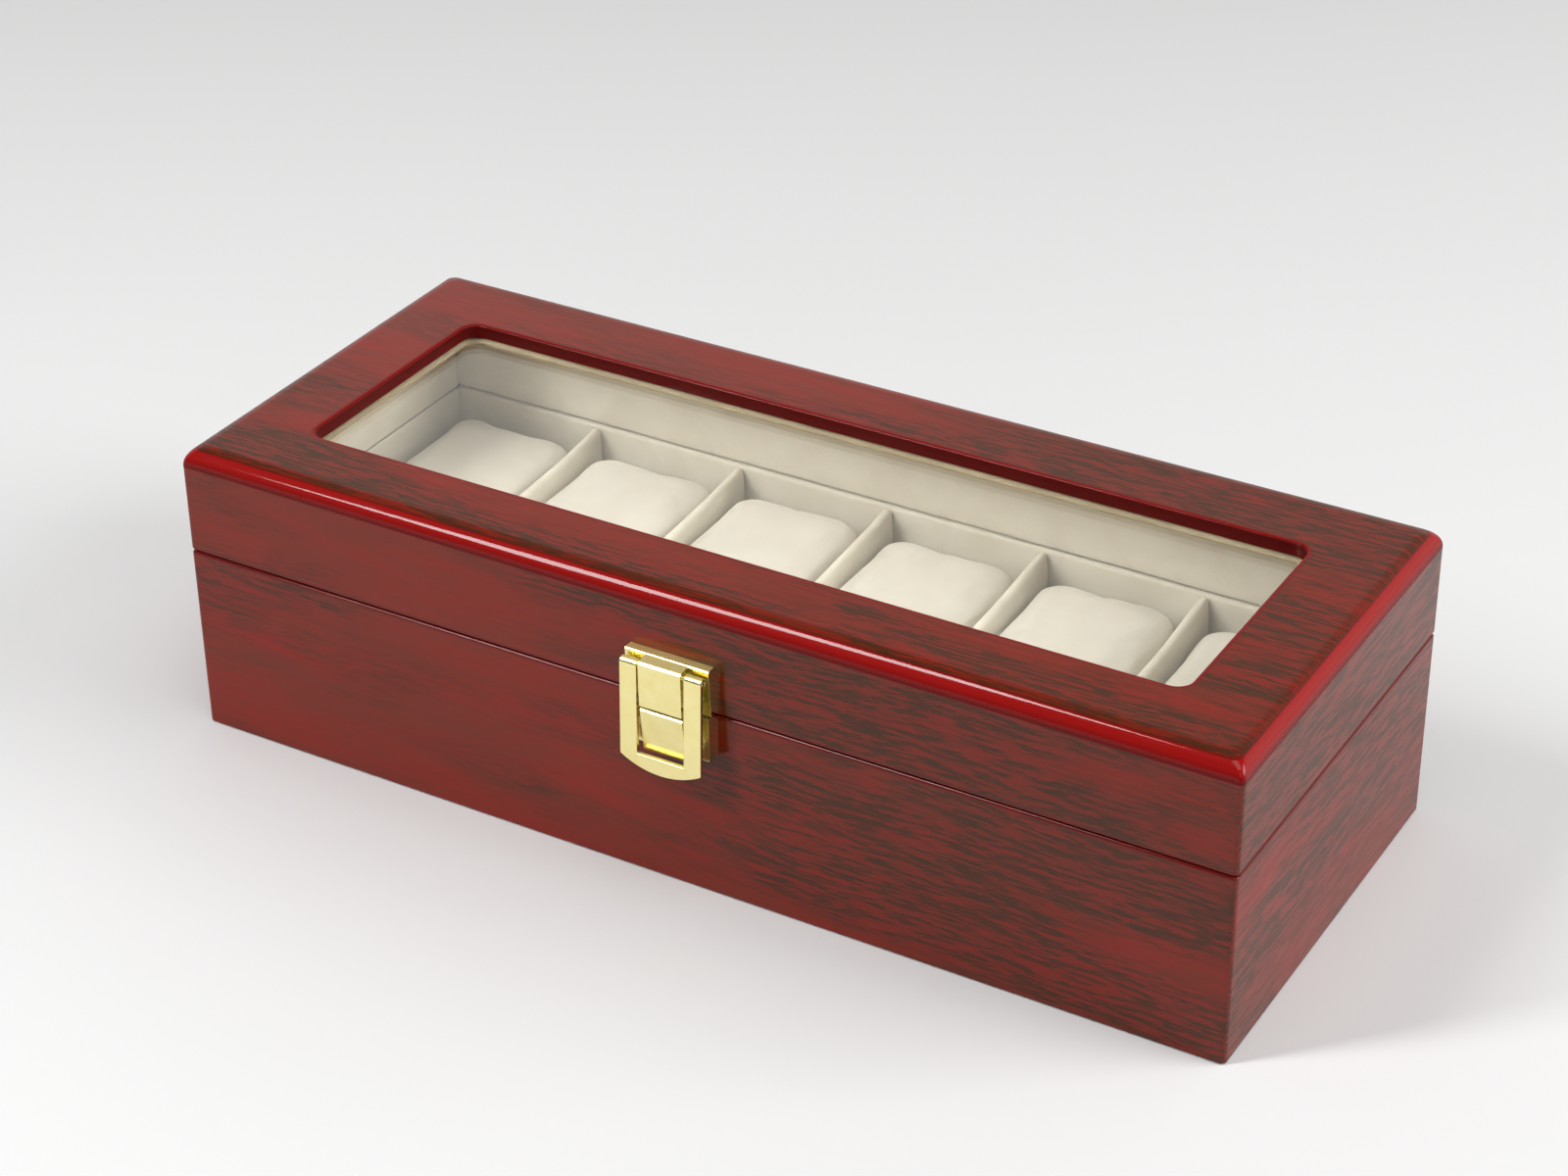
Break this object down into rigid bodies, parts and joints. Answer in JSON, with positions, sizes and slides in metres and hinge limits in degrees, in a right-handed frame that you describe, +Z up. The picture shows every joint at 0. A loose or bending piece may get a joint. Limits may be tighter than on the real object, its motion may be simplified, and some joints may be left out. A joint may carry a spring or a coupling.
{
  "type": "display box",
  "caption": "Long lacquered wooden display box with a glazed hinged lid, a swinging front clasp, velvet-lined compartments and lift-out cushions.",
  "frame": {"origin": "middle of the underside, on the felt that the box rests on", "axes": "+X along the length, to the right seen from the clasp; +Y towards the hinges; +Z up"},
  "size_m": [0.32, 0.142, 0.09],
  "materials": {
    "red_lacquered_wood": "high-gloss clear lacquer over red-stained wood grain",
    "cream_velvet": "short-pile velvet",
    "cushion_velvet": "short-pile velvet over soft filling",
    "dark_felt": "felt",
    "gold_metal": "polished gold plating",
    "window_glass": "clear float glass"
  },
  "bodies": {
    "base": {"base_front_wall": "red_lacquered_wood", "base_back_wall": "red_lacquered_wood", "base_left_wall": "red_lacquered_wood", "base_right_wall": "red_lacquered_wood", "base_bottom_panel": "red_lacquered_wood", "base_felt": "dark_felt", "base_floor_liner": "cream_velvet", "base_liner_front": "cream_velvet", "base_liner_back": "cream_velvet", "base_liner_left": "cream_velvet", "base_liner_right": "cream_velvet", "divider_1": "cream_velvet", "divider_2": "cream_velvet", "divider_3": "cream_velvet", "divider_4": "cream_velvet", "divider_5": "cream_velvet", "latch_keeper": "gold_metal", "latch_keeper_nails": "gold_metal", "hinge_left_base_leaf": "gold_metal", "hinge_right_base_leaf": "gold_metal", "hinge_left_pin": "gold_metal", "hinge_right_pin": "gold_metal", "base_hinge_screws": "gold_metal"},
    "lid": {"lid_top_panel": "red_lacquered_wood", "lid_front_rail": "red_lacquered_wood", "lid_back_rail": "red_lacquered_wood", "lid_left_rail": "red_lacquered_wood", "lid_right_rail": "red_lacquered_wood", "glass_pane": "window_glass", "glass_frame": "cream_velvet", "lid_liner_front": "cream_velvet", "lid_liner_back": "cream_velvet", "lid_liner_left": "cream_velvet", "lid_liner_right": "cream_velvet", "latch_plate": "gold_metal", "latch_plate_nails": "gold_metal", "latch_pin": "gold_metal", "hinge_left_lid_leaf": "gold_metal", "hinge_right_lid_leaf": "gold_metal", "lid_hinge_screws": "gold_metal"},
    "clasp_flap": {"latch_flap": "gold_metal"},
    "pillow_1": {"cushion_1": "cushion_velvet"},
    "pillow_2": {"cushion_2": "cushion_velvet"},
    "pillow_3": {"cushion_3": "cushion_velvet"},
    "pillow_4": {"cushion_4": "cushion_velvet"},
    "pillow_5": {"cushion_5": "cushion_velvet"},
    "pillow_6": {"cushion_6": "cushion_velvet"}
  },
  "joints": [
    {"name": "lid_hinge", "type": "hinge", "parent": "base", "child": "lid", "pos_m": [0, 0.0672, 0.0575], "axis": [-1, 0, 0], "range_deg": [0, 100]},
    {"name": "clasp_swing", "type": "hinge", "parent": "lid", "child": "clasp_flap", "pos_m": [0, -0.0699, 0.0694], "axis": [-1, 0, 0], "range_deg": [-4, 120]},
    {"name": "pillow_1_lift", "type": "slide", "parent": "base", "child": "pillow_1", "axis": [0, 0, 1], "range_m": [0, 0.025]},
    {"name": "pillow_2_lift", "type": "slide", "parent": "base", "child": "pillow_2", "axis": [0, 0, 1], "range_m": [0, 0.025]},
    {"name": "pillow_3_lift", "type": "slide", "parent": "base", "child": "pillow_3", "axis": [0, 0, 1], "range_m": [0, 0.025]},
    {"name": "pillow_4_lift", "type": "slide", "parent": "base", "child": "pillow_4", "axis": [0, 0, 1], "range_m": [0, 0.025]},
    {"name": "pillow_5_lift", "type": "slide", "parent": "base", "child": "pillow_5", "axis": [0, 0, 1], "range_m": [0, 0.025]},
    {"name": "pillow_6_lift", "type": "slide", "parent": "base", "child": "pillow_6", "axis": [0, 0, 1], "range_m": [0, 0.025]}
  ]
}
